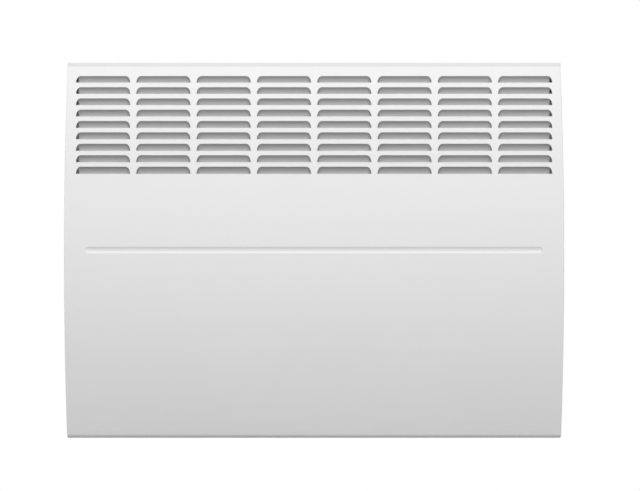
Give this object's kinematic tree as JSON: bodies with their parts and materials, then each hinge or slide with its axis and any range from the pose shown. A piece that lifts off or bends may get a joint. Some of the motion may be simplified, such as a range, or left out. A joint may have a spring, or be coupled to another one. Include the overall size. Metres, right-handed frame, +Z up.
{
  "type": "convector heater",
  "caption": "Wall-hung electric convector heater: bowed sheet-metal front with inward-pressed louvres, side controls with dial and rocker switch, finned element, hooked on a wall bracket.",
  "frame": {"origin": "on the wall, at the middle of the wall bracket's four fixing holes, at half the heater's height", "axes": "+X to the right seen from the front, along the width; +Y towards the wall; +Z up"},
  "size_m": [0.5962, 0.098, 0.451],
  "materials": {
    "cover_paint": "white powder coat, fine orange-peel texture",
    "panel_paint": "white powder coat, thinner than the cover's",
    "zinc_steel": "zinc-plated steel sheet",
    "screw_steel": "zinc-plated screws and rivets",
    "element_aluminium": "extruded aluminium, as drawn",
    "rod_steel": "stainless rod, heat-tinted",
    "ceramic": "glazed ceramic",
    "shield_steel": "aluminised steel reflector",
    "phenolic": "dark phenolic moulding",
    "rubber_black": "black rubber",
    "fascia_plastic": "pale grey moulded plastic, fine texture",
    "knob_plastic": "white moulded plastic, satin",
    "brass": "brass",
    "bimetal": "bimetal strip",
    "switch_plastic": "black moulded plastic",
    "rocker_plastic": "black moulded plastic, printed marks",
    "lens_red": "translucent red plastic",
    "block_plastic": "natural nylon",
    "gland_plastic": "black nylon",
    "wire_brown": "heat-resistant sleeving",
    "wire_blue": "heat-resistant sleeving",
    "wire_earth": "green and yellow insulation",
    "clip_plastic": "natural nylon"
  },
  "bodies": {
    "bracket": {"wall_bracket": "zinc_steel"},
    "heater": {"front_cover": "cover_paint", "inlet_grille": "cover_paint", "rear_panel": "panel_paint", "cover_screws": "screw_steel", "panel_rivets": "screw_steel", "element_fins": "element_aluminium", "element_rod": "rod_steel", "element_seals": "ceramic", "element_pins": "rod_steel", "element_bushes": "ceramic", "element_bracket_left": "zinc_steel", "element_bracket_right": "zinc_steel", "heat_shield": "shield_steel", "thermal_cutout": "phenolic", "cutout_screws": "screw_steel", "control_partition": "zinc_steel", "wire_grommets": "rubber_black", "control_fascia": "fascia_plastic", "thermostat_base": "phenolic", "thermostat_screws": "screw_steel", "thermostat_bimetal": "bimetal", "switch_body": "switch_plastic", "indicator_lens": "lens_red", "indicator_lamp": "block_plastic", "terminal_block": "block_plastic", "terminal_screws": "brass", "terminal_block_screws": "screw_steel", "cable_gland": "gland_plastic", "gland_nut": "gland_plastic", "earth_stud": "brass", "earth_nuts": "brass", "earth_tag": "brass", "live_wire": "wire_brown", "switched_wire": "wire_brown", "thermostat_wire": "wire_brown", "cutout_wire": "wire_brown", "neutral_wire": "wire_blue", "earth_wire": "wire_earth", "wire_clips": "clip_plastic"},
    "knob": {"thermostat_knob": "knob_plastic", "thermostat_spindle": "brass"},
    "rocker": {"switch_rocker": "rocker_plastic"}
  },
  "joints": [
    {"name": "heater_lift", "type": "slide", "parent": "bracket", "child": "heater", "axis": [0, 0, 1], "range_m": [0, 0.012]},
    {"name": "knob_turn", "type": "hinge", "parent": "heater", "child": "knob", "pos_m": [0.29, -0.05, 0.014], "axis": [-1, 0, 0], "range_deg": [0, 270]},
    {"name": "rocker_tip", "type": "hinge", "parent": "heater", "child": "rocker", "pos_m": [0.292, -0.05, -0.056], "axis": [0, -1, 0], "range_deg": [0, 18]}
  ]
}
